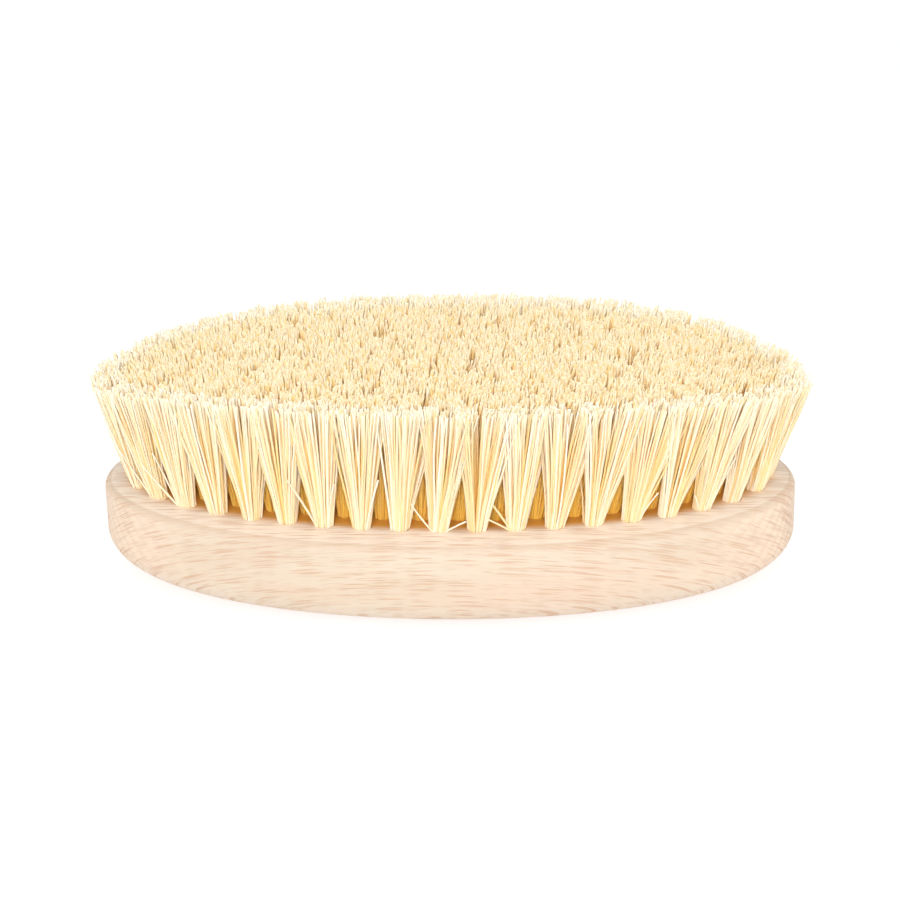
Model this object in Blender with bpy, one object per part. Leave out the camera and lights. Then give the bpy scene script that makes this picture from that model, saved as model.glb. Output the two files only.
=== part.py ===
"""Oval body brush: a one-piece beech back set with tufts of stiff plant fibre.

The brush lies on its palm side with the bristles up. The origin is the middle of the
flat palm face, +X runs along the brush and +Z points to the bristle tips. All lengths
are in metres.
"""

import math
from typing import NamedTuple

import bmesh
import bpy
from mathutils import Matrix, Vector

MM = 0.001

# Wooden back: an oval block with an upright side wall
BACK_LENGTH = 135.0 * MM
BACK_WIDTH = 72.0 * MM
BACK_THICKNESS = 19.0 * MM
RIM_ROUND = 1.8 * MM  # rounding between the side wall and the bristle face
PALM_ROUND_REACH = 15.0 * MM  # how far in from the side wall the palm rounding runs
PALM_ROUND_RISE = 9.0 * MM  # how far up the side wall it runs

# Drilling pattern: concentric ovals of holes and one straight row in the middle
END_MARGIN = 6.0 * MM  # from the end of the back to the outer row's centre line
SIDE_MARGIN = 9.0 * MM  # the same at the side of the back
ROW_SPACING = 5.4 * MM
TUFT_PITCH = 7.2 * MM
CENTRE_ROW_INSET = 16.5 * MM  # how much shorter each way the middle row is than the last oval
STAGGER = 0.5  # how far a staggered oval is turned, in pitches

# Tufts: bundles folded over a flat wire anchor and driven into blind holes
ROOT_RADIUS = 1.75 * MM
HOLE_DEPTH = 8.0 * MM
ANCHOR_WIDTH = 4.6 * MM
ANCHOR_HEIGHT = 2.0 * MM
ANCHOR_THICKNESS = 0.45 * MM
ANCHOR_RISE = 0.8 * MM  # from the foot of the bundle to the anchor's lower edge

# Strands: each stands for several fibres; those of a tuft fill its round outline
OUTER_STRANDS = 6
INNER_STRANDS = 2
STRAND_SIDES = 3
STRAND_FILL = 0.85  # strand radius as a share of the largest that fits beside its neighbours
STRAND_SINK = 1.0 * MM  # how deep a strand runs into what it is fused to
TIP_RADIUS = 3.35 * MM  # of a tuft at its tips, where it almost meets its neighbours

# Trim: the field leans outwards and is cut to a low crown along its length
BRISTLE_HEIGHT = 25.2 * MM
END_DROP = 5.2 * MM  # how much lower the tips stand at the two ends
CROWN_POWER = 4  # a high power keeps the middle of the trim flat and rounds off its ends
END_SPLAY = 5.3 * MM  # how far the outer tufts lean out at the ends of the brush
SIDE_SPLAY = 4.6 * MM  # the same at its sides

# Bed: the slice of the back that carries the inner tufts
BED_THICKNESS = 3.0 * MM
BED_MARGIN = 1.6 * MM  # from the centre line of its outer row to its edge

CLEARANCE = 0.3 * MM  # between pieces that touch
OVERSHOOT = 1.0 * MM  # how far a cutter passes the face that it opens

BACK_SIDES = 96
BED_SIDES = 60
PALM_ROUND_STEPS = 7
RIM_ROUND_STEPS = 3
ROOT_SIDES = 10
ARC_STEPS = 720  # samples along an oval when its length is measured

BEECH = (0.885, 0.690, 0.540, 1.0)
BEECH_ROUGHNESS = 0.55
FIBRE = (0.905, 0.745, 0.420, 1.0)
FIBRE_ROUGHNESS = 0.5


class Tuft(NamedTuple):
    """A bundle of fibres, in plan."""

    hole: Vector  # centre of its hole
    tips: Vector  # centre of its tips
    out: Vector  # square to its row, away from the middle of the brush


def clear_scene():
    """Remove every object of the file that the script starts in."""
    for thing in list(bpy.data.objects):
        bpy.data.objects.remove(thing, do_unlink=True)


def new_collection(name):
    """A collection linked to the scene."""
    collection = bpy.data.collections.new(name)
    bpy.context.scene.collection.children.link(collection)
    return collection


def plain_material(name, colour, roughness):
    """A Principled material without metal."""
    material = bpy.data.materials.new(name)
    material.use_nodes = True
    shader = material.node_tree.nodes["Principled BSDF"]
    shader.inputs["Base Color"].default_value = colour
    shader.inputs["Roughness"].default_value = roughness
    shader.inputs["Metallic"].default_value = 0.0
    return material


def mesh_from(name, shape):
    """Turn a bmesh into a mesh and free it."""
    mesh = bpy.data.meshes.new(name)
    shape.to_mesh(mesh)
    shape.free()
    return mesh


def add_part(name, mesh, material, collection, place=None):
    """Put a mesh in the model as one named piece."""
    mesh.materials.append(material)
    piece = bpy.data.objects.new(name, mesh)
    if place is not None:
        piece.matrix_world = place
    collection.objects.link(piece)
    return piece


def add_tool(name, mesh, collection, place=None):
    """Put a mesh in the model as a hidden cutter or a body to fuse."""
    tool = bpy.data.objects.new(name, mesh)
    tool.hide_render = True
    tool.display_type = "WIRE"
    if place is not None:
        tool.matrix_world = place
    collection.objects.link(tool)
    return tool


def combine(piece, tool, operation):
    """Cut or fuse one piece with a tool."""
    modifier = piece.modifiers.new(operation.lower(), "BOOLEAN")
    modifier.operation = operation
    modifier.solver = "EXACT"
    modifier.object = tool


def oval_point(half_length, half_width, angle):
    """A point of an oval at its parametric angle."""
    return Vector((half_length * math.cos(angle), half_width * math.sin(angle), 0.0))


def loft_ovals(sections, sides):
    """A closed solid through level ovals given as (half length, half width, height)."""
    shape = bmesh.new()
    rings = []
    for half_length, half_width, height in sections:
        ring = []
        for corner in range(sides):
            point = oval_point(half_length, half_width, math.tau * corner / sides)
            point.z = height
            ring.append(shape.verts.new(point))
        rings.append(ring)
    for lower, upper in zip(rings, rings[1:]):
        for here in range(sides):
            after = (here + 1) % sides
            wall = shape.faces.new((lower[here], lower[after], upper[after], upper[here]))
            wall.smooth = True
    shape.faces.new(list(reversed(rings[0])))
    shape.faces.new(rings[-1])
    return shape


def back_sections():
    """The back's ovals from the palm face up to the bristle face."""
    half_length = BACK_LENGTH / 2
    half_width = BACK_WIDTH / 2
    sections = []
    for step in range(PALM_ROUND_STEPS + 1):
        turn = math.pi / 2 * step / PALM_ROUND_STEPS
        inset = PALM_ROUND_REACH * (1 - math.sin(turn))
        height = PALM_ROUND_RISE * (1 - math.cos(turn))
        sections.append((half_length - inset, half_width - inset, height))
    for step in range(RIM_ROUND_STEPS + 1):
        turn = math.pi / 2 * step / RIM_ROUND_STEPS
        inset = RIM_ROUND * (1 - math.cos(turn))
        height = BACK_THICKNESS - RIM_ROUND * (1 - math.sin(turn))
        sections.append((half_length - inset, half_width - inset, height))
    return sections


def even_angles(half_length, half_width, count, shift):
    """Parametric angles that divide an oval into equal arcs; shift is in pitches."""
    points = [oval_point(half_length, half_width, math.tau * i / ARC_STEPS) for i in range(ARC_STEPS + 1)]
    lengths = [0.0]
    for before, after in zip(points, points[1:]):
        lengths.append(lengths[-1] + (after - before).length)
    angles = []
    step = 0
    for tuft in range(count):
        wanted = lengths[-1] * (tuft + shift) / count
        while lengths[step + 1] < wanted:
            step += 1
        part = (wanted - lengths[step]) / (lengths[step + 1] - lengths[step])
        angles.append(math.tau * (step + part) / ARC_STEPS)
    return angles


def oval_length(half_length, half_width):
    """Length round an oval, by Ramanujan's formula."""
    total = half_length + half_width
    root = math.sqrt((3 * half_length + half_width) * (half_length + 3 * half_width))
    return math.pi * (3 * total - root)


def drilling_rows():
    """Rows of tufts, outermost first.

    A row leans out less the nearer it lies to the middle. Every second oval is staggered,
    but not the innermost, whose tufts would meet at its tight ends.
    """
    outer_length = BACK_LENGTH / 2 - END_MARGIN
    outer_width = BACK_WIDTH / 2 - SIDE_MARGIN
    ovals = max(2, round(outer_width / ROW_SPACING))
    spacing = outer_width / ovals
    rows = []
    for row in range(ovals):
        half_length = outer_length - row * spacing
        half_width = outer_width - row * spacing
        lean = 1 - row / ovals
        count = 2 * round(oval_length(half_length, half_width) / (2 * TUFT_PITCH))
        staggered = row % 2 == 1 and row < ovals - 1
        tufts = []
        for angle in even_angles(half_length, half_width, count, STAGGER if staggered else 0.0):
            hole = oval_point(half_length, half_width, angle)
            tips = oval_point(half_length + lean * END_SPLAY, half_width + lean * SIDE_SPLAY, angle)
            out = oval_point(half_width, half_length, angle).normalized()
            tufts.append(Tuft(hole, tips, out))
        rows.append(tufts)
    centre_half = max(0.0, half_length - CENTRE_ROW_INSET)
    gaps = max(1, round(2 * centre_half / TUFT_PITCH))
    centre_row = []
    for tuft in range(gaps + 1):
        hole = Vector((centre_half * (2 * tuft / gaps - 1), 0.0, 0.0))
        centre_row.append(Tuft(hole, hole.copy(), Vector((0.0, 1.0, 0.0))))
    rows.append(centre_row)
    return rows


def tip_height(point):
    """Height of the trimmed bristle tips over a point of the plan."""
    reach = BACK_LENGTH / 2 - END_MARGIN + END_SPLAY + TIP_RADIUS
    return BACK_THICKNESS + BRISTLE_HEIGHT - END_DROP * (point.x / reach) ** CROWN_POWER


def tuft_frame(tuft):
    """Where a tuft leaves the bristle face: +Z along its axis, +X across its row."""
    mouth = Vector((tuft.hole.x, tuft.hole.y, BACK_THICKNESS))
    top = Vector((tuft.tips.x, tuft.tips.y, tip_height(tuft.tips)))
    axis = (top - mouth).normalized()
    side = axis.cross(tuft.out).normalized()
    rotation = Matrix((side.cross(axis), side, axis)).transposed()
    return Matrix.Translation(mouth) @ rotation.to_4x4()


def strand_circle(radius, count):
    """How far from a tuft's axis its strands stand, and their radius, within a tuft's radius."""
    half_step = math.sin(math.pi / count)
    offset = radius / (1 + half_step)
    return offset, STRAND_FILL * (radius - offset)


def add_strand(shape, start, end, start_radius, end_radius):
    """One straight strand between two points."""
    run = end - start
    turn = run.to_track_quat("Z", "Y").to_matrix().to_4x4()
    place = Matrix.Translation((start + end) / 2) @ turn
    bmesh.ops.create_cone(
        shape,
        cap_ends=True,
        segments=STRAND_SIDES,
        radius1=start_radius,
        radius2=end_radius,
        depth=run.length,
        matrix=place,
    )


def add_strands(shape, tuft, count, frame=Matrix.Identity(4)):
    """The strands of one tuft, fanning from its hole to its share of the tips.

    They are added in the coordinates of the given frame. Two strands stand side by side in
    the row; more of them stand in a circle.
    """
    place = tuft_frame(tuft)
    into_frame = frame.inverted()
    beside = Vector((-tuft.out.y, tuft.out.x, 0.0))
    first_turn = math.pi / 2 if count == 2 else 0.0
    root_offset, root_radius = strand_circle(ROOT_RADIUS, count)
    tip_offset, tip_radius = strand_circle(TIP_RADIUS, count)
    for strand in range(count):
        turn = first_turn + math.tau * strand / count
        start = place @ Vector((root_offset * math.cos(turn), root_offset * math.sin(turn), -STRAND_SINK))
        end = tuft.tips + tip_offset * (math.cos(turn) * tuft.out + math.sin(turn) * beside)
        end.z = tip_height(end)
        add_strand(shape, into_frame @ start, into_frame @ end, root_radius, tip_radius)


def add_rod(shape, radius, bottom, top, frame):
    """A round rod along the frame's +Z between two heights."""
    place = frame @ Matrix.Translation((0.0, 0.0, (bottom + top) / 2))
    bmesh.ops.create_cone(
        shape,
        cap_ends=True,
        segments=ROOT_SIDES,
        radius1=radius,
        radius2=radius,
        depth=top - bottom,
        matrix=place,
    )


def add_plate(shape, growth, frame):
    """A tuft's flat anchor, or with growth the slot round it, standing across the root."""
    size = (ANCHOR_THICKNESS + 2 * growth, ANCHOR_WIDTH + 2 * growth, ANCHOR_HEIGHT + 2 * growth)
    middle = CLEARANCE - HOLE_DEPTH + ANCHOR_RISE + ANCHOR_HEIGHT / 2
    place = frame @ Matrix.Translation((0.0, 0.0, middle)) @ Matrix.Diagonal((*size, 1.0))
    bmesh.ops.create_cube(shape, size=1.0, matrix=place)


def bed_sections(rows, growth):
    """Ovals of the bed, or with growth of the pocket that it lies in."""
    half_length = max(tuft.hole.x for tuft in rows[1]) + BED_MARGIN + growth
    half_width = max(tuft.hole.y for tuft in rows[1]) + BED_MARGIN + growth
    bottom = BACK_THICKNESS - BED_THICKNESS - growth
    top = BACK_THICKNESS + (OVERSHOOT if growth else 0.0)
    return [(half_length, half_width, bottom), (half_length, half_width, top)]


def build_back(rows, material, parts, tools):
    """The wooden back, with a pocket for the bed and a splayed blind hole for each outer tuft."""
    block = mesh_from("wood_back", loft_ovals(back_sections(), BACK_SIDES))
    back = add_part("wood_back", block, material, parts)
    pocket = mesh_from("bed_pocket", loft_ovals(bed_sections(rows, CLEARANCE), BED_SIDES))
    combine(back, add_tool("bed_pocket", pocket, tools), "DIFFERENCE")
    holes = bmesh.new()
    slots = bmesh.new()
    for tuft in rows[0]:
        frame = tuft_frame(tuft)
        add_rod(holes, ROOT_RADIUS + CLEARANCE, -HOLE_DEPTH, OVERSHOOT, frame)
        add_plate(slots, CLEARANCE, frame)
    combine(back, add_tool("outer_holes", mesh_from("outer_holes", holes), tools), "DIFFERENCE")
    combine(back, add_tool("anchor_slots", mesh_from("anchor_slots", slots), tools), "DIFFERENCE")


def build_outer_tuft(name, tuft, material, parts, tools):
    """One tuft of the outer row: its bundled root, its anchor and its strands."""
    frame = tuft_frame(tuft)
    root = bmesh.new()
    add_rod(root, ROOT_RADIUS, CLEARANCE - HOLE_DEPTH, 0.0, Matrix.Identity(4))
    bundle = add_part(name, mesh_from(name, root), material, parts, frame)
    fused = bmesh.new()
    add_strands(fused, tuft, OUTER_STRANDS, frame)
    add_plate(fused, 0.0, Matrix.Identity(4))
    combine(bundle, add_tool(name + "_strands", mesh_from(name + "_strands", fused), tools, frame), "UNION")


def build_inner_tufts(rows, material, parts, tools):
    """All tufts inside the outer row, fused to the bed."""
    slice_of_back = mesh_from("inner_tufts", loft_ovals(bed_sections(rows, 0.0), BED_SIDES))
    bed = add_part("inner_tufts", slice_of_back, material, parts)
    strands = bmesh.new()
    for row in rows[1:]:
        for tuft in row:
            add_strands(strands, tuft, INNER_STRANDS)
    combine(bed, add_tool("inner_strands", mesh_from("inner_strands", strands), tools), "UNION")


def main():
    clear_scene()
    parts = new_collection("body_brush")
    tools = new_collection("cutters")
    beech = plain_material("beech", BEECH, BEECH_ROUGHNESS)
    fibre = plain_material("plant_fibre", FIBRE, FIBRE_ROUGHNESS)
    rows = drilling_rows()
    build_back(rows, beech, parts, tools)
    for number, tuft in enumerate(rows[0], start=1):
        build_outer_tuft(f"outer_tuft_{number:02d}", tuft, fibre, parts, tools)
    build_inner_tufts(rows, fibre, parts, tools)
    strands = OUTER_STRANDS * len(rows[0]) + INNER_STRANDS * sum(len(row) for row in rows[1:])
    print("tufts in each row:", [len(row) for row in rows], "strands in all:", strands)


main()
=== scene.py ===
"""Looks of the oval body brush: solid beech with its grain, and fine plant fibres in every tuft.

The fibres and the holes follow the same drilling pattern as the solids. Lengths are in metres.
"""

import math
from typing import NamedTuple

import bmesh
import bpy
import numpy as np
from mathutils import Matrix, Vector


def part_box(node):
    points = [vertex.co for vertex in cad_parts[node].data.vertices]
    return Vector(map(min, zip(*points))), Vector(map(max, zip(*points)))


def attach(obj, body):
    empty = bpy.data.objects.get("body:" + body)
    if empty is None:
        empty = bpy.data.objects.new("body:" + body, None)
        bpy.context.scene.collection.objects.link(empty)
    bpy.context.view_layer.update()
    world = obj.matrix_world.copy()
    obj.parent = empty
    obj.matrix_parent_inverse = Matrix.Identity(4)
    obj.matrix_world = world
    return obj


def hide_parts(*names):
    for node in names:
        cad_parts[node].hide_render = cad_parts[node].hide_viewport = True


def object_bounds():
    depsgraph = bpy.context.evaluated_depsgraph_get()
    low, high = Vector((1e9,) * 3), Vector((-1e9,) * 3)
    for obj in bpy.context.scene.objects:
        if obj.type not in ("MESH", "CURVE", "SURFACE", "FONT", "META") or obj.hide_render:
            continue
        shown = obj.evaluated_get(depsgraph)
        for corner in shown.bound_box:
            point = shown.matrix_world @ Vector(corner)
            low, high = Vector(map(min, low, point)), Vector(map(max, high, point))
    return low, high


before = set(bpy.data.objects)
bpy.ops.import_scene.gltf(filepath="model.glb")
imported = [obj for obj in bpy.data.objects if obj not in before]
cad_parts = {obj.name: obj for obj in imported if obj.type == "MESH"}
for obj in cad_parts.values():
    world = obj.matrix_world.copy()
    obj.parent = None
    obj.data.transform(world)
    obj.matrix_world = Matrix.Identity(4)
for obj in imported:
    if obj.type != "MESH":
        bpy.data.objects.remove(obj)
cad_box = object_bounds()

MM = 0.001
SEED = 11

# The back, from the frame
BACK_LOW, BACK_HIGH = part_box("wood_back")
BACK_LENGTH = BACK_HIGH.x - BACK_LOW.x
BACK_WIDTH = BACK_HIGH.y - BACK_LOW.y
FACE_HEIGHT = BACK_HIGH.z
RIM_ROUND = 1.8 * MM
PALM_ROUND_REACH = 15.0 * MM
PALM_ROUND_RISE = 9.0 * MM
BACK_SIDES = 240
PALM_STEPS = 16
RIM_STEPS = 8
SHARP_ANGLE = math.radians(30)

# Drilling pattern
END_MARGIN = 6.0 * MM
SIDE_MARGIN = 9.0 * MM
ROW_SPACING = 5.4 * MM
TUFT_PITCH = 7.2 * MM
CENTRE_ROW_INSET = 16.5 * MM
STAGGER = 0.5  # of a pitch, in every other oval
ROUNDING = 0.01  # settles a count of gaps that falls on a half
ARC_STEPS = 720

# Holes
HOLE_RADIUS = 1.85 * MM
HOLE_SIDES = 20
DRILL_LENGTH = 7.5 * MM
DRILL_ABOVE = 1.0 * MM  # how much of it stands above the bristle face

# Trim
END_SPLAY = 5.3 * MM
SIDE_SPLAY = 4.6 * MM
END_DROP = 5.2 * MM
CROWN_POWER = 4
TIP_RADIUS = 3.35 * MM
TIP_REACH = BACK_LENGTH / 2 - END_MARGIN + END_SPLAY + TIP_RADIUS
TRIM_HEIGHT = FACE_HEIGHT + 25.2 * MM
COMBED = 2.4 * MM  # how far the tips lean towards +X in the middle of the brush

# One fibre
FIBRE_RADIUS = 0.21 * MM
FIBRE_SIDES = 4
THICKNESS = (0.8, 1.15)  # the thinnest and the thickest, as shares of FIBRE_RADIUS
TAPER = 0.15  # how much thinner its tip is
FIBRE_FOOT = 2.0 * MM  # how far it starts below the bristle face
RING_CROWDING = 1.8  # how much closer its rings lie towards its tip; 1 is even
BEND = 0.4 * MM
WAVE = 0.08 * MM
WAVE_TURN = 7  # radians of the wave from the face to the tip
TRIM_MEAN = -0.05 * MM  # where the tips end, from the trim
TRIM_SCATTER = 0.14 * MM
SHORT_SHARE = 0.1  # how many fibres are short, and by how much
SHORT_BY = (0.4 * MM, 2.5 * MM)
TOP_MARGIN = 0.05 * MM  # kept free under the top of the solids' box

# One tuft
BUNDLE_RADIUS = 1.68 * MM
SPREAD_POWER = 0.55  # 0.5 spreads the fibres evenly over the bundle; more crowds its middle
DISC_SCATTER = 0.06  # of the bundle's radius
FAN_ACROSS = 3.5 * MM  # half width of a tuft at its tips, across its row
FAN_ALONG = 4.6 * MM  # and along its row
FAN_VARIES = (0.9, 1.1)  # along the row, from tuft to tuft
SCATTER_ACROSS = 0.3 * MM
SCATTER_ALONG = 0.5 * MM
WIDE_SHARE = 0.4  # how much wider the loose fibres of a tuft fan
TUFT_LEAN = 0.4 * MM  # how far a whole tuft may lean along its row
SPLIT = 0.5 * MM  # how far the two legs of a folded bundle part at the tips
LOCKS = 7  # groups in which the fibres of a tuft cling together
STRAY_REACH = (1.0 * MM, 3.5 * MM)

# Broken fibres low beside a tuft
BROKEN_SHARE = 0.45  # how many outer tufts have some
BROKEN_MOST = 2
BROKEN_START = (0.7, 0.6)  # across and along the row, as shares of BUNDLE_RADIUS
BROKEN_REACH = (2.0 * MM, 6.5 * MM)
BROKEN_RISE = (2.5 * MM, 12.0 * MM)
BROKEN_DROOP = (-0.2, 0.35)
BROKEN_SCATTER = 0.6 * MM

# Colours, as 8-bit sRGB
BEECH = (221, 202, 180)
BEECH_LIGHT = (228, 212, 192)
BEECH_ROSY = (231, 204, 184)
# Painted light: lighter on the bristle face and the underside, which get less light than the sides
FACE_PAINTED_LIGHT = (252, 241, 229)
# Painted light: lighter on the ends, which get less light than the front
ENDS_PAINTED_LIGHT = (249, 225, 202)
# Painted shade: darker on the rounded rim, where the lamps put a highlight
RIM_PAINTED_SHADE = (216, 193, 170)
LATE_WOOD = (218, 182, 150)
STREAK = (214, 181, 152)
FINE_RAY = (202, 166, 136)
LONG_RAY = (206, 160, 124)
# Painted shade: golden brown on the wood among the tufts, for their shade and the gold light they throw
PAINTED_SHADE_AMONG_TUFTS = (242, 178, 44)
FIBRE_YELLOW = (250, 227, 160)
FIBRE_CREAM = (254, 248, 233)
# Some fibres' own gold, and painted shade: fibres turn this deep gold low down and inside a tuft
FIBRE_GOLD_AND_SHADE = (253, 212, 72)
SHEEN = (255, 252, 240)

# Grain
LEAN_COS = 0.8  # of the angle at which the growth rings lean
LEAN_SIN = 0.6
RINGS_PER_METRE = 480.0
RING_WANDER = 1.2  # how far the rings wander, in ring widths
RELIEF = 0.12 * MM
RELIEF_STRENGTH = 0.3

# Light and camera
AROUND = 0.55
LAMPS = (  # name, place, size and power
    ("key", (0.05, -1.18, 0.54), 0.4, 6.9),
    ("high", (0.0, -0.75, 1.15), 0.8, 3.1),
    ("left", (-1.1, -0.4, 0.4), 0.6, 2.3),
    ("right", (1.1, -0.4, 0.4), 0.6, 2.6),
)
LAMPS_AIM = Vector((0, 0, 0.02))
CAMERA_DISTANCE = 500 * MM
CAMERA_TARGET = Vector((0.53, 0.0, 23.74)) * MM
CAMERA_ELEVATION = math.radians(22.33)
CAMERA_YAW = math.radians(-3.94)
CAMERA_ROLL = math.radians(-1.245)
CAMERA_LENS = 102.6
FLOOR_SIZE = 6.0


class Kind(NamedTuple):
    """What the fibres of an outer or of an inner tuft are like."""

    fibres: int
    rings: int
    strays: int  # fibres that stand off from the tuft
    lock_pull: float  # how strongly its locks cling together
    pale: tuple  # how pale a fibre is, by share of its length; less pale lower down is painted shade
    tones: tuple  # the yellowest and the creamiest fibre
    golden: float  # how much of its paleness the most golden fibre lacks


OUTER = Kind(
    fibres=150, rings=7, strays=3, lock_pull=0.3,
    pale=((0.0, 0.95), (0.5, 0.97), (1.0, 1.0)), tones=(0.2, 1.0), golden=0.18,
)
INNER = Kind(
    fibres=128, rings=5, strays=1, lock_pull=0.05,
    pale=((0.0, 0.0), (0.5, 0.3), (0.9, 0.6), (1.0, 0.95)), tones=(0.0, 0.8), golden=0.7,
)


def oval_point(half_length, half_width, angle, height=0.0):
    return Vector((half_length * math.cos(angle), half_width * math.sin(angle), height))


def even_angles(half_length, half_width, count, shift):
    """Parametric angles that divide an oval into equal arcs; shift is in pitches."""
    points = [oval_point(half_length, half_width, math.tau * i / ARC_STEPS) for i in range(ARC_STEPS + 1)]
    lengths = [0.0]
    for before, after in zip(points, points[1:]):
        lengths.append(lengths[-1] + (after - before).length)
    wanted = [lengths[-1] * (tuft + shift) / count for tuft in range(count)]
    return list(np.interp(wanted, lengths, np.linspace(0.0, math.tau, ARC_STEPS + 1)))


def oval_length(half_length, half_width):
    """Length round an oval, by a close approximation."""
    total = half_length + half_width
    root = math.sqrt((3 * half_length + half_width) * (half_length + 3 * half_width))
    return math.pi * (3 * total - root)


def drilling_rows():
    """Rows of tufts, outermost first; each tuft is (hole, tips, direction of its row) in plan."""
    outer_length = BACK_LENGTH / 2 - END_MARGIN
    outer_width = BACK_WIDTH / 2 - SIDE_MARGIN
    ovals = max(2, round(outer_width / ROW_SPACING))
    spacing = outer_width / ovals
    rows = []
    for row in range(ovals):
        half_length = outer_length - row * spacing
        half_width = outer_width - row * spacing
        lean = 1 - row / ovals
        count = 2 * round(oval_length(half_length, half_width) / (2 * TUFT_PITCH))
        staggered = row % 2 == 1 and row < ovals - 1
        tufts = []
        for angle in even_angles(half_length, half_width, count, STAGGER if staggered else 0.0):
            hole = oval_point(half_length, half_width, angle)
            tips = oval_point(half_length + lean * END_SPLAY, half_width + lean * SIDE_SPLAY, angle)
            along = Vector((-half_length * math.sin(angle), half_width * math.cos(angle), 0.0))
            tufts.append((hole, tips, along))
        rows.append(tufts)
    centre_half = half_length - CENTRE_ROW_INSET
    gaps = round(2 * centre_half / TUFT_PITCH + ROUNDING)
    middle = [Vector((centre_half * (2 * tuft / gaps - 1), 0.0, 0.0)) for tuft in range(gaps + 1)]
    rows.append([(hole, hole.copy(), Vector((1.0, 0.0, 0.0))) for hole in middle])
    return rows


def trim_height(x):
    """Height of the trimmed tips at a place along the brush; x may be an array."""
    return TRIM_HEIGHT - END_DROP * (x / TIP_REACH) ** CROWN_POWER


def tuft_axis(hole, tips):
    """From the middle of a tuft's hole, at the bristle face, to the middle of its tips."""
    return Vector((tips.x, tips.y, trim_height(tips.x))) - Vector((hole.x, hole.y, FACE_HEIGHT))


def tuft_frame(hole, tips, along):
    """Where a tuft leaves the bristle face: +X across its row, +Y along it and +Z along its axis."""
    axis = tuft_axis(hole, tips).normalized()
    across = along.cross(axis).normalized()
    turn = Matrix((across, axis.cross(across), axis)).transposed().to_4x4()
    return Matrix.Translation(Vector((hole.x, hole.y, FACE_HEIGHT))) @ turn


def link(name, mesh, material):
    """Put a mesh in the scene under a name and with a material."""
    mesh.materials.append(material)
    piece = bpy.data.objects.new(name, mesh)
    bpy.context.scene.collection.objects.link(piece)
    return piece


def srgb(red, green, blue):
    """A linear colour from 8-bit sRGB values."""
    return (*[((c / 255 + 0.055) / 1.055) ** 2.4 for c in (red, green, blue)], 1.0)


class Nodes:
    """A short way to write the node tree of a material or a world."""

    def __init__(self, owner, shader="Principled BSDF"):
        self.owner = owner
        owner.use_nodes = True
        self.tree = owner.node_tree
        self.shader = self.tree.nodes[shader]

    def add(self, kind, inputs=None, **settings):
        """Add a node with its settings and inputs."""
        node = self.tree.nodes.new(kind)
        for key, value in settings.items():
            setattr(node, key, value)
        self.give(node, inputs or {})
        return node

    def give(self, node, inputs):
        """Set several inputs of a node."""
        for key, value in inputs.items():
            self.set(node.inputs[key], value)

    def set(self, socket, value):
        """Link a socket to another, or give it a number or a colour."""
        if isinstance(value, bpy.types.NodeSocket):
            self.tree.links.new(value, socket)
        else:
            socket.default_value = value

    def maths(self, operation, first, second=0.0):
        return self.add("ShaderNodeMath", {0: first, 1: second}, operation=operation).outputs[0]

    def split(self, vector):
        """The three parts of a vector."""
        return self.add("ShaderNodeSeparateXYZ", {"Vector": vector}).outputs

    def join(self, x, y, z):
        return self.add("ShaderNodeCombineXYZ", {"X": x, "Y": y, "Z": z}).outputs[0]

    def span(self, value, low, high, to_low=0.0, to_high=1.0):
        """Map a range to another, clamped, with soft ends."""
        if low > high:
            low, high, to_low, to_high = high, low, to_high, to_low
        inputs = dict(enumerate((value, low, high, to_low, to_high)))
        return self.add("ShaderNodeMapRange", inputs, interpolation_type="SMOOTHSTEP").outputs[0]

    def mix(self, share, first, second):
        return self.add("ShaderNodeMix", {0: share, 6: first, 7: second}, data_type="RGBA").outputs[2]

    def coat(self, colour, layers):
        """Lay colours over another, each given as (mask, share, colour)."""
        for mask, share, over in layers:
            colour = self.mix(self.maths("MULTIPLY", mask, share), colour, srgb(*over))
        return colour

    def stretch(self, vector, scale):
        """Cells per metre along each axis."""
        return self.add("ShaderNodeMapping", {"Vector": vector, "Scale": scale}).outputs[0]

    def noise(self, vector, scale, detail=2.0, roughness=0.5):
        place = self.stretch(vector, scale)
        inputs = {"Vector": place, "Scale": 1.0, "Detail": detail, "Roughness": roughness}
        return self.add("ShaderNodeTexNoise", inputs).outputs[0]

    def dashes(self, vector, scale, width, share):
        """Short strokes: one in each cell of a stretched pattern, kept in a share of the cells."""
        cells = self.add("ShaderNodeTexVoronoi", {"Vector": self.stretch(vector, scale), "Scale": 1.0})
        pick = self.add("ShaderNodeSeparateColor", {"Color": cells.outputs["Color"]}).outputs["Red"]
        stroke = self.span(cells.outputs["Distance"], width * 0.45, width, 1.0, 0.0)
        return self.maths("MULTIPLY", stroke, self.span(pick, 1 - share, 1 - share * 0.6))


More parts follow.
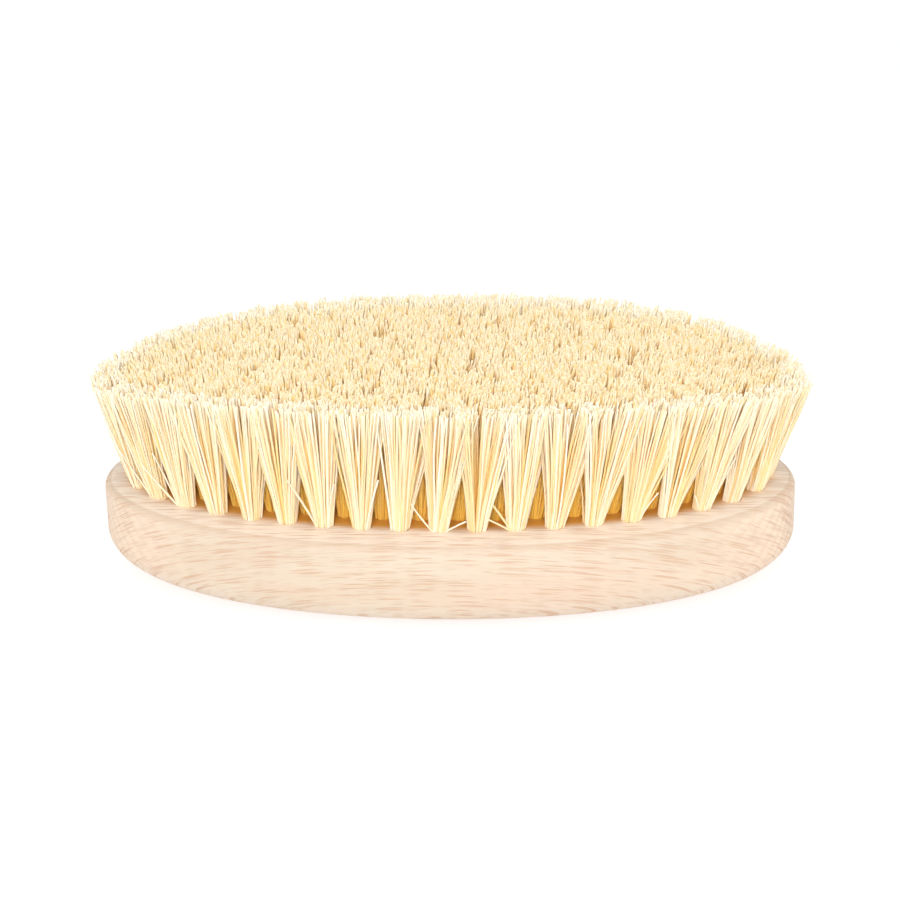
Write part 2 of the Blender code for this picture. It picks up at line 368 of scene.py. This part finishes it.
def beech_material():
    """Beech cut along X: growth rings that show at the ends, and short dark rays along the grain; with
    painted light and painted shade on its face, underside, ends, rim and among the tufts.
    """
    n = Nodes(bpy.data.materials.new("beech_wood"))
    place = n.add("ShaderNodeTexCoord").outputs["Object"]
    x, y, z = n.split(place)
    normal_x, _, normal_z = n.split(n.add("ShaderNodeNewGeometry").outputs["Normal"])

    # Parts of the surface, where painted light or painted shade goes
    end = n.span(n.maths("ABSOLUTE", normal_x), 0.3, 0.9)
    # Painted light on the palm underside and the bristle face
    underside_painted_light = n.span(normal_z, 0.0, -0.7, 0.0, 0.35)
    face = n.maths("MAXIMUM", n.span(normal_z, 0.9, 1.0), underside_painted_light)
    # Where the rim's rounding catches the lamps, which gets painted shade
    rim = n.maths("MULTIPLY", n.span(normal_z, 0.1, 0.5), n.span(normal_z, 1.0, 0.8))
    # The wood inside the outer row of tufts, which gets painted shade
    oval_x = n.maths("DIVIDE", x, BACK_LENGTH / 2 - END_MARGIN)
    oval_y = n.maths("DIVIDE", y, BACK_WIDTH / 2 - SIDE_MARGIN)
    out = n.add("ShaderNodeVectorMath", {0: n.join(oval_x, oval_y, 0.0)}, operation="LENGTH")
    shade_among_tufts = n.span(out.outputs["Value"], 1.06, 0.95)

    # The growth rings and the rays across them lean, so both slope on the ends
    ringwise = n.maths("SUBTRACT", n.maths("MULTIPLY", y, LEAN_COS), n.maths("MULTIPLY", z, LEAN_SIN))
    raywise = n.maths("ADD", n.maths("MULTIPLY", y, LEAN_SIN), n.maths("MULTIPLY", z, LEAN_COS))
    grained = n.join(x, ringwise, raywise)
    wander = n.maths("MULTIPLY", n.noise(place, (12, 40, 40)), RING_WANDER)
    ring = n.maths("FRACT", n.maths("ADD", n.maths("MULTIPLY", ringwise, RINGS_PER_METRE), wander))
    late = n.maths("MULTIPLY", n.span(ring, 0.35, 1.0), end)
    clouds = n.noise(grained, (14, 50, 160), 3.0, 0.55)
    rosy = n.noise(place, (20, 80, 80))
    streaks = n.noise(grained, (60, 150, 2000), 3.0, 0.6)
    long_rays = n.dashes(grained, (135, 80, 3500), 0.5, 0.7)
    fine_rays = n.dashes(grained, (300, 260, 4300), 0.5, 0.6)

    tone = n.mix(n.span(clouds, 0.3, 0.7), srgb(*BEECH), srgb(*BEECH_LIGHT))
    tone = n.coat(tone, (
        (n.span(rosy, 0.45, 0.75), 0.5, BEECH_ROSY),
        # painted light on the bristle face and the underside
        (face, 0.85, FACE_PAINTED_LIGHT),
        # painted light on the ends
        (end, 0.75, ENDS_PAINTED_LIGHT),
        # painted shade on the rim
        (rim, 0.45, RIM_PAINTED_SHADE),
        (late, 0.3, LATE_WOOD),
        (n.span(streaks, 0.48, 0.75), 0.5, STREAK),
        (fine_rays, 0.3, FINE_RAY),
        (long_rays, 0.55, LONG_RAY),
        # painted shade among the tufts
        (shade_among_tufts, 0.9, PAINTED_SHADE_AMONG_TUFTS),
    ))
    relief = n.maths("SUBTRACT", n.maths("MULTIPLY", streaks, 0.5), n.maths("MAXIMUM", long_rays, fine_rays))
    bump = n.add("ShaderNodeBump", {"Strength": RELIEF_STRENGTH, "Distance": RELIEF, "Height": relief})
    n.give(n.shader, {
        "Base Color": tone,
        "Roughness": n.span(streaks, 0.2, 0.8, 0.5, 0.62),
        "Specular IOR Level": 0.35,
        "Normal": bump.outputs[0],
    })
    return n.owner


def fibre_material():
    """Stiff plant fibre: each one a little lighter or more golden, and paler towards its cut tip; its deep
    gold lower down and inside a tuft is painted shade.
    """
    n = Nodes(bpy.data.materials.new("plant_fibre"))
    tone = n.add("ShaderNodeAttribute", attribute_name="tone").outputs["Fac"]
    pale = n.add("ShaderNodeAttribute", attribute_name="pale").outputs["Fac"]
    colour = n.mix(tone, srgb(*FIBRE_YELLOW), srgb(*FIBRE_CREAM))
    n.give(n.shader, {
        "Base Color": n.mix(pale, srgb(*FIBRE_GOLD_AND_SHADE), colour),
        "Roughness": 0.45,
        "Specular IOR Level": 0.4,
        "Diffuse Roughness": 1.0,
        "Sheen Weight": 0.4,
        "Sheen Roughness": 0.6,
        "Sheen Tint": srgb(*SHEEN),
    })
    return n.owner


def oval_loft(sections, sides):
    """A closed shape through level ovals given as (half length, half width, height)."""
    shape = bmesh.new()
    angles = [math.tau * corner / sides for corner in range(sides)]
    rings = []
    for half_length, half_width, height in sections:
        rings.append([shape.verts.new(oval_point(half_length, half_width, turn, height)) for turn in angles])
    for lower, upper in zip(rings, rings[1:]):
        for here in range(sides):
            after = (here + 1) % sides
            shape.faces.new((lower[here], lower[after], upper[after], upper[here]))
    shape.faces.new(list(reversed(rings[0])))
    shape.faces.new(rings[-1])
    return shape


def back_sections():
    """The back's ovals from the palm face up to the bristle face."""
    sections = []
    for step in range(PALM_STEPS + 1):
        turn = math.pi / 2 * step / PALM_STEPS
        inset = PALM_ROUND_REACH * (1 - math.sin(turn))
        height = PALM_ROUND_RISE * (1 - math.cos(turn))
        sections.append((BACK_LENGTH / 2 - inset, BACK_WIDTH / 2 - inset, height))
    for step in range(RIM_STEPS + 1):
        turn = math.pi / 2 * step / RIM_STEPS
        inset = RIM_ROUND * (1 - math.cos(turn))
        height = FACE_HEIGHT - RIM_ROUND * (1 - math.sin(turn))
        sections.append((BACK_LENGTH / 2 - inset, BACK_WIDTH / 2 - inset, height))
    return sections


def drills(rows):
    """A rod for every hole, as one mesh."""
    rods = bmesh.new()
    for row in rows:
        for tuft in row:
            place = tuft_frame(*tuft) @ Matrix.Translation((0, 0, DRILL_ABOVE - DRILL_LENGTH / 2))
            bmesh.ops.create_cone(rods, cap_ends=True, segments=HOLE_SIDES, radius1=HOLE_RADIUS,
                                  radius2=HOLE_RADIUS, depth=DRILL_LENGTH, matrix=place)
    mesh = bpy.data.meshes.new("drill")
    rods.to_mesh(mesh)
    rods.free()
    return mesh


def wooden_back(rows):
    """The back in one piece, with a blind hole for every tuft."""
    mesh = bpy.data.meshes.new("wooden_back")
    shape = oval_loft(back_sections(), BACK_SIDES)
    shape.to_mesh(mesh)
    shape.free()
    back = link("wooden_back", mesh, beech_material())
    cutter = bpy.data.objects.new("drill", drills(rows))
    bpy.context.scene.collection.objects.link(cutter)
    cut = back.modifiers.new("holes", "BOOLEAN")
    cut.operation = "DIFFERENCE"
    cut.object = cutter
    bpy.context.view_layer.update()
    drilled = bpy.data.meshes.new_from_object(back.evaluated_get(bpy.context.evaluated_depsgraph_get()))
    back.modifiers.clear()
    back.data = drilled
    bpy.data.objects.remove(cutter)
    drilled.shade_smooth()
    drilled.set_sharp_from_angle(angle=SHARP_ANGLE)
    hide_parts("wood_back")
    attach(back, "root")


def ring_shares(rings):
    """Where a fibre's rings lie along it, closer together towards its tip."""
    return 1 - (1 - np.linspace(0, 1, rings)) ** RING_CROWDING


def bundle_disc(count, rng):
    """Where the fibres stand in their bundle, in a disc of radius 1."""
    spread = ((np.arange(count) + 0.5) / count) ** SPREAD_POWER
    turn = np.arange(count) * math.pi * (3 - math.sqrt(5)) + rng.uniform(0, math.tau)
    disc = np.stack([np.cos(turn), np.sin(turn)], 1) * spread[:, None]
    disc += rng.normal(0, DISC_SCATTER, disc.shape)
    return disc / np.maximum(1.0, np.linalg.norm(disc, axis=1, keepdims=True))


def tuft_fan(disc, root, kind, rng):
    """How far each fibre's tip lies beyond its root, across and along the row."""
    count = len(disc)
    centres = rng.uniform(-1, 1, (LOCKS, 2))
    lock = np.linalg.norm(disc[:, None] - centres, axis=2).argmin(1)
    drawn = disc + kind.lock_pull * (centres[lock] - disc)
    fan = drawn * np.array([FAN_ACROSS, FAN_ALONG * rng.uniform(*FAN_VARIES)]) - root
    fan[:, 1] *= 1 + WIDE_SHARE * np.abs(rng.normal(0, 1, count))
    fan += rng.normal(0, 1, disc.shape) * np.array([SCATTER_ACROSS, SCATTER_ALONG])
    fan[:, 1] += rng.normal(0, TUFT_LEAN) + np.sign(disc[:, 1]) * SPLIT * rng.uniform(0, 2)
    fan[:kind.strays, 1] += rng.choice([-1.0, 1.0], kind.strays) * rng.uniform(*STRAY_REACH, kind.strays)
    return fan


def placed(place, points):
    """Points moved from a tuft's own frame to the brush's."""
    return points @ np.array(place.to_3x3()).T + np.array(place.translation)


def fibre_paths(tuft, kind, rng):
    """Centre lines of one tuft's fibres, as an array (fibre, ring, xyz), and how near its surface each is."""
    hole, tips, row = tuft
    tips = tips + Vector((COMBED * (1 - (tips.x / TIP_REACH) ** 2), 0.0, 0.0))
    count = kind.fibres
    disc = bundle_disc(count, rng)
    root = disc * (BUNDLE_RADIUS - FIBRE_RADIUS)
    fan = tuft_fan(disc, root, kind, rng)
    trim = rng.normal(TRIM_MEAN, TRIM_SCATTER, count)
    trim -= np.where(rng.random(count) < SHORT_SHARE, rng.uniform(*SHORT_BY, count), 0.0)
    bend = rng.normal(0, BEND, (count, 2))
    wave = rng.normal(0, WAVE, (count, 2))
    length = tuft_axis(hole, tips).length
    rise = -FIBRE_FOOT + ring_shares(kind.rings) * (length + FIBRE_FOOT)
    up = np.clip(rise / length, 0, 1)
    level = (root[:, None] + fan[:, None] * up[None, :, None]
             + bend[:, None] * (up * (1 - up) * 2)[None, :, None]
             + wave[:, None] * np.sin(up * WAVE_TURN)[None, :, None])
    heights = np.broadcast_to(rise[None, :, None], (count, kind.rings, 1))
    world = placed(tuft_frame(hole, tips, row), np.concatenate([level, heights], 2))

    # Each fibre is stretched or cut to the trim
    top = np.minimum(trim_height(world[:, -1, 0]) + trim, cad_box[1].z - TOP_MARGIN)
    foot = world[:, :1]
    reach = (top[:, None, None] - foot[:, :, 2:]) / (world[:, -1:, 2:] - foot[:, :, 2:])
    return foot + (world - foot) * reach, np.linalg.norm(disc, axis=1)


def broken_paths(tuft, count, rings, rng):
    """Centre lines of short, bent fibres that lie low beside a tuft."""
    side = rng.choice([-1.0, 1.0], count)[:, None]
    share = ring_shares(rings)[None, :]
    reach = rng.uniform(*BROKEN_REACH, count)[:, None]
    rise = rng.uniform(*BROKEN_RISE, count)[:, None]
    droop = rng.uniform(*BROKEN_DROOP, count)[:, None]
    x = BUNDLE_RADIUS * BROKEN_START[0] + rng.normal(0, BROKEN_SCATTER, count)[:, None] * share
    y = side * (BUNDLE_RADIUS * BROKEN_START[1] + reach * share)
    z = rise * (share + droop * share * (1 - share))
    return placed(tuft_frame(*tuft), np.stack([x, y, z], 2)), np.ones(count)


def fibre_tubes(paths, rng):
    """Corners and faces of tubes round centre lines, and how many faces, the last ones, cap the tips."""
    count, rings, _ = paths.shape
    sides = FIBRE_SIDES
    along = np.diff(paths, axis=1)
    along = np.concatenate([along, along[:, -1:]], 1)
    along /= np.linalg.norm(along, axis=2, keepdims=True)
    first = np.cross(along, np.array([0.31, 0.95, 0.0]))
    first /= np.linalg.norm(first, axis=2, keepdims=True)
    second = np.cross(along, first)
    turns = ((np.arange(sides) + 0.5) * math.tau / sides)[:, None]
    ring = np.cos(turns) * first[:, :, None] + np.sin(turns) * second[:, :, None]
    radius = FIBRE_RADIUS * rng.uniform(*THICKNESS, (count, 1)) * (1 - TAPER * ring_shares(rings))
    corners = (paths[:, :, None] + ring * radius[:, :, None, None]).reshape(-1, 3)
    base = (np.arange(count) * rings * sides)[:, None, None]
    ring_base = base + (np.arange(rings - 1) * sides)[:, None]
    low = ring_base + np.arange(sides)
    low_next = ring_base + (np.arange(sides) + 1) % sides
    quads = np.stack([low, low_next, low_next + sides, low + sides], -1).reshape(-1, 4)
    caps = base[:, 0] + (rings - 1) * sides + np.arange(sides)
    return corners.tolist(), quads.tolist() + caps.tolist(), len(caps)


def fibre_mesh(name, bundles, kind, rng):
    """The tubes of several bundles, each with a tone of its own, and painted shade: deep gold downwards and
    inside a tuft.
    """
    paths, surface = (np.concatenate(parts) for parts in zip(*bundles))
    count, rings, _ = paths.shape
    corners, faces, caps = fibre_tubes(paths, rng)
    mesh = bpy.data.meshes.new(name)
    mesh.from_pydata(corners, [], faces)
    mesh.shade_smooth()
    mesh.polygons.foreach_set("use_smooth", np.arange(len(faces)) < len(faces) - caps)
    share = ring_shares(rings)
    tones = np.interp(1 - rng.random(count) ** 3, (0, 1), kind.tones)
    golden = kind.golden * rng.random((count, 1)) ** 2
    # Painted shade: deep gold towards the face and inside a tuft, where shade falls; the random golden share
    # is the fibres' own tone
    level = np.interp(share, *zip(*kind.pale))
    shown = share ** 3 + (1 - share ** 3) * surface[:, None] ** 2
    pale = level * shown * (1 - golden * (1 - share ** 3))
    for attribute, values in (("tone", np.repeat(tones, rings)), ("pale", pale.ravel())):
        layer = mesh.attributes.new(attribute, "FLOAT", "POINT")
        layer.data.foreach_set("value", np.repeat(values, FIBRE_SIDES).astype(np.float32))
    return mesh


def tuft_fibres(rows):
    """Every outer tuft as its own piece, and each inner row of tufts as one."""
    rng = np.random.default_rng(SEED)
    material = fibre_material()
    pieces = []
    for number, tuft in enumerate(rows[0], start=1):
        paths = [fibre_paths(tuft, OUTER, rng)]
        if rng.random() < BROKEN_SHARE:
            paths.append(broken_paths(tuft, rng.integers(1, BROKEN_MOST + 1), OUTER.rings, rng))
        name = f"fibres_{number:02d}"
        piece = link(name, fibre_mesh(name, paths, OUTER, rng), material)
        pieces.append((piece, f"outer_tuft_{number:02d}"))
    for number, row in enumerate(rows[1:], start=2):
        paths = [fibre_paths(tuft, INNER, rng) for tuft in row]
        name = f"fibres_row_{number}"
        piece = link(name, fibre_mesh(name, paths, INNER, rng), material)
        pieces.append((piece, "inner_tufts"))
    for piece, node in pieces:
        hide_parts(node)
        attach(piece, "root")


def seen_plainly(n):
    """1 for what the camera sees itself, in a gloss or through glass, and 0 for the rest of the light."""
    rays = n.add("ShaderNodeLightPath").outputs
    through = n.maths("MAXIMUM", rays["Is Glossy Ray"], rays["Is Transmission Ray"])
    return n.maths("MAXIMUM", rays["Is Camera Ray"], through)


def stage():
    """White floor that keeps the brush's soft shadow."""
    bpy.ops.mesh.primitive_plane_add(size=FLOOR_SIZE)
    floor = bpy.context.object
    floor.name = "floor"
    n = Nodes(bpy.data.materials.new("floor"))
    n.give(n.shader, {"Base Color": (0.9, 0.9, 0.9, 1.0), "Roughness": 0.9, "Specular IOR Level": 0.0})
    dim = n.add("ShaderNodeBsdfDiffuse", {"Color": (0.3, 0.3, 0.3, 1.0)})
    glow = n.add("ShaderNodeEmission", {"Color": (1.0, 1.0, 1.0, 1.0), "Strength": 0.8})
    shown = n.add("ShaderNodeAddShader", {0: dim.outputs[0], 1: glow.outputs[0]})
    choice = n.add("ShaderNodeMixShader", {0: seen_plainly(n), 1: n.shader.outputs[0], 2: shown.outputs[0]})
    n.set(n.tree.nodes["Material Output"].inputs[0], choice.outputs[0])
    floor.data.materials.append(n.owner)


def surroundings():
    """Soft white light from all round, plain white where the camera sees it."""
    n = Nodes(bpy.data.worlds.new("studio"), "Background")
    bpy.context.scene.world = n.owner
    level = n.add("ShaderNodeMapRange", {"Value": seen_plainly(n), "To Min": AROUND, "To Max": 1.0})
    n.give(n.shader, {"Color": (1.0, 1.0, 1.0, 1.0), "Strength": level.outputs[0]})


def lamp(name, place, size, power):
    """A square area lamp that looks at the brush."""
    light = bpy.data.lights.new(name, "AREA")
    light.size = size
    light.energy = power
    thing = bpy.data.objects.new(name, light)
    thing.location = place
    thing.rotation_euler = (LAMPS_AIM - Vector(place)).to_track_quat("-Z", "Y").to_euler()
    bpy.context.scene.collection.objects.link(thing)


def camera():
    """The main view: a long lens, a little above the brush and to the right of its middle."""
    ahead = Vector((math.sin(CAMERA_YAW), math.cos(CAMERA_YAW), 0.0))
    forward = ahead * math.cos(CAMERA_ELEVATION) - Vector((0.0, 0.0, math.sin(CAMERA_ELEVATION)))
    right = Vector((math.cos(CAMERA_YAW), -math.sin(CAMERA_YAW), 0.0))
    up = right.cross(forward)
    rolled_right = right * math.cos(CAMERA_ROLL) + up * math.sin(CAMERA_ROLL)
    rolled_up = up * math.cos(CAMERA_ROLL) - right * math.sin(CAMERA_ROLL)
    data = bpy.data.cameras.new("camera")
    data.sensor_width = 36
    data.lens = CAMERA_LENS
    thing = bpy.data.objects.new("camera", data)
    turn = Matrix((rolled_right, rolled_up, -forward)).transposed().to_4x4()
    thing.matrix_world = Matrix.Translation(CAMERA_TARGET - forward * CAMERA_DISTANCE) @ turn
    bpy.context.scene.collection.objects.link(thing)
    bpy.context.scene.camera = thing


rows = drilling_rows()
camera()
wooden_back(rows)
tuft_fibres(rows)
stage()
surroundings()
for settings in LAMPS:
    lamp(*settings)
bpy.context.scene.cycles.max_bounces = 16
bpy.context.scene.cycles.diffuse_bounces = 12
bpy.context.scene.view_settings.view_transform = "Standard"
